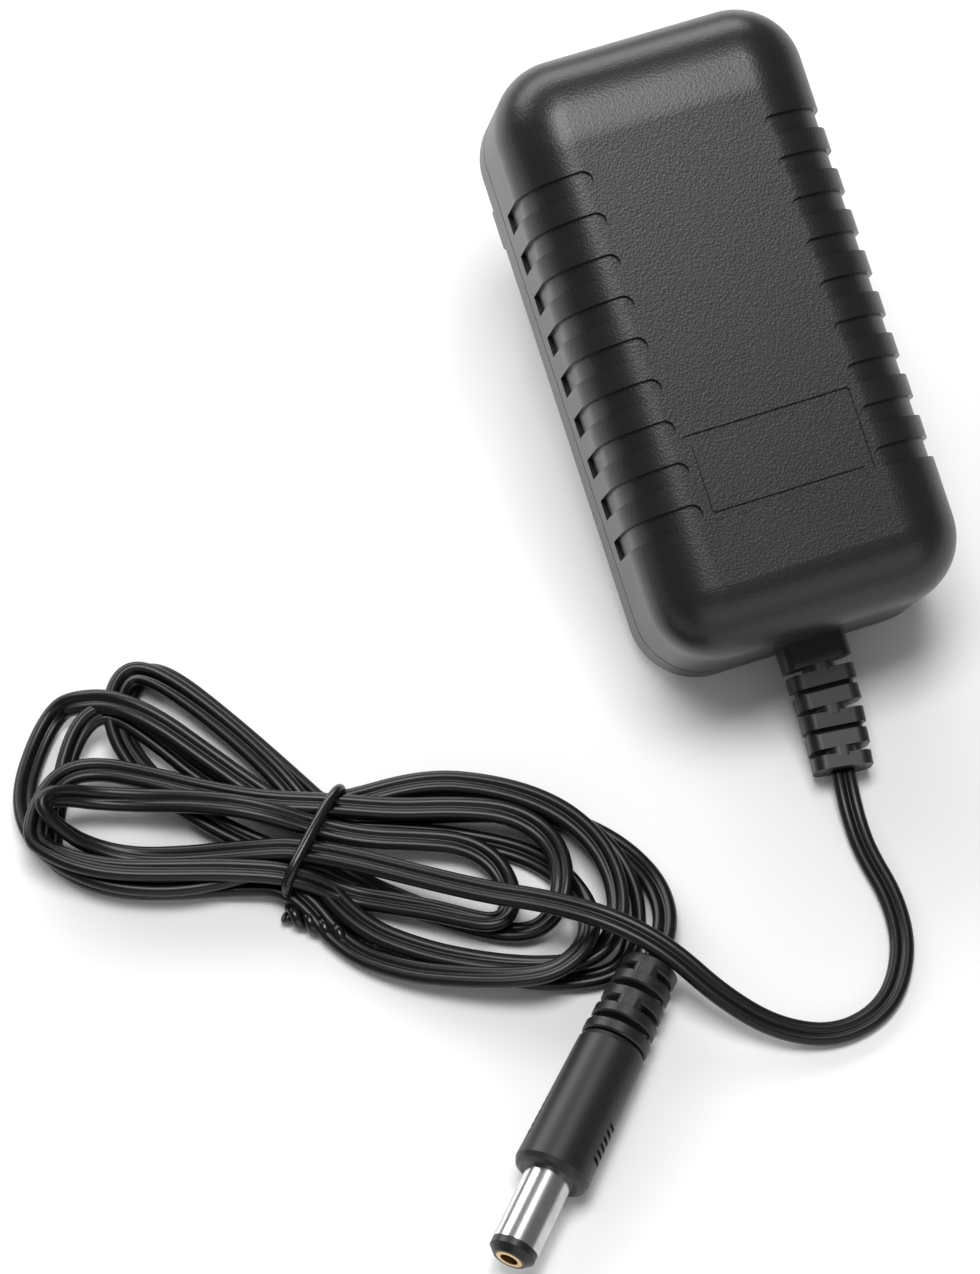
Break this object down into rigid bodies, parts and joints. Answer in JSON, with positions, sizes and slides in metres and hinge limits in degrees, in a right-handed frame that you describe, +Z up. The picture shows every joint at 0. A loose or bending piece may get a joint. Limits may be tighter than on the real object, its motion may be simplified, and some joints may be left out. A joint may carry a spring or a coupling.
{
  "type": "power adapter",
  "caption": "Plug-in mains power adapter: rounded black housing with grooved sides, round mains pins on its back, and a flat tied lead that ends in a barrel plug",
  "frame": {"origin": "On the surface that the adapter rests on, midway across the housing and midway along what the housing and its pins cover of that surface.", "axes": "+Z up. +X across the housing. +Y along the housing towards the end with the mains pins, so the lead leaves towards -Y. The housing rests on its pin tips and the lower edge of its lead end, tilted by 22.4 degrees about X."},
  "size_m": [0.1115, 0.1303, 0.0483],
  "materials": {
    "housing": "fine even spark-eroded grain with a soft sheen",
    "board": "solder mask",
    "pin_metal": "nickel plate",
    "pin_sleeve": "smooth",
    "contact_metal": "bright",
    "diode_body": "moulded epoxy",
    "input_capacitor": "shrunk sleeve",
    "output_capacitor": "shrunk sleeve",
    "resistor_body": "matt coating",
    "choke_sleeve": "shrunk sleeve",
    "disc_coating": "dipped coating",
    "chip_body": "moulded epoxy",
    "optocoupler_body": "moulded epoxy",
    "ferrite": "sintered, dull",
    "bobbin_plastic": "moulded",
    "winding_tape": "polyester tape",
    "wire_cover": "smooth",
    "relief_rubber": "soft vinyl with a low sheen",
    "cord_cover": "smooth flexible vinyl",
    "tie_plastic": "glossy plastic over wire",
    "plug_moulding": "satin vinyl",
    "plug_metal": "nickel plate",
    "plug_insulator": "smooth"
  },
  "bodies": {
    "root": {"front_cover": "housing", "back_shell": "housing", "circuit_board": "board", "pin_left": "pin_metal", "pin_right": "pin_metal", "pin_sleeve_left": "pin_sleeve", "pin_sleeve_right": "pin_sleeve", "contact_spring_left": "contact_metal", "contact_spring_right": "contact_metal", "rectifier_diode_1": "diode_body", "rectifier_diode_2": "diode_body", "rectifier_diode_3": "diode_body", "rectifier_diode_4": "diode_body", "input_capacitor_1": "input_capacitor", "input_capacitor_2": "input_capacitor", "output_capacitor_1": "output_capacitor", "output_capacitor_2": "output_capacitor", "fuse_resistor": "resistor_body", "output_diode": "diode_body", "output_choke": "choke_sleeve", "input_choke": "choke_sleeve", "y_capacitor": "disc_coating", "controller_chip": "chip_body", "optocoupler": "optocoupler_body", "transformer_core_pin_side": "ferrite", "transformer_core_lead_side": "ferrite", "transformer_bobbin": "bobbin_plastic", "transformer_winding": "winding_tape", "core_wire_left": "wire_cover", "core_wire_right": "wire_cover", "cord_relief": "relief_rubber", "cord_hank": "cord_cover", "twist_tie": "tie_plastic", "cord_lead": "cord_cover", "plug_grip": "plug_moulding", "plug_barrel": "plug_metal", "plug_insulator": "plug_insulator", "plug_centre_contact": "contact_metal", "cord_tail": "cord_cover"}
  },
  "joints": []
}
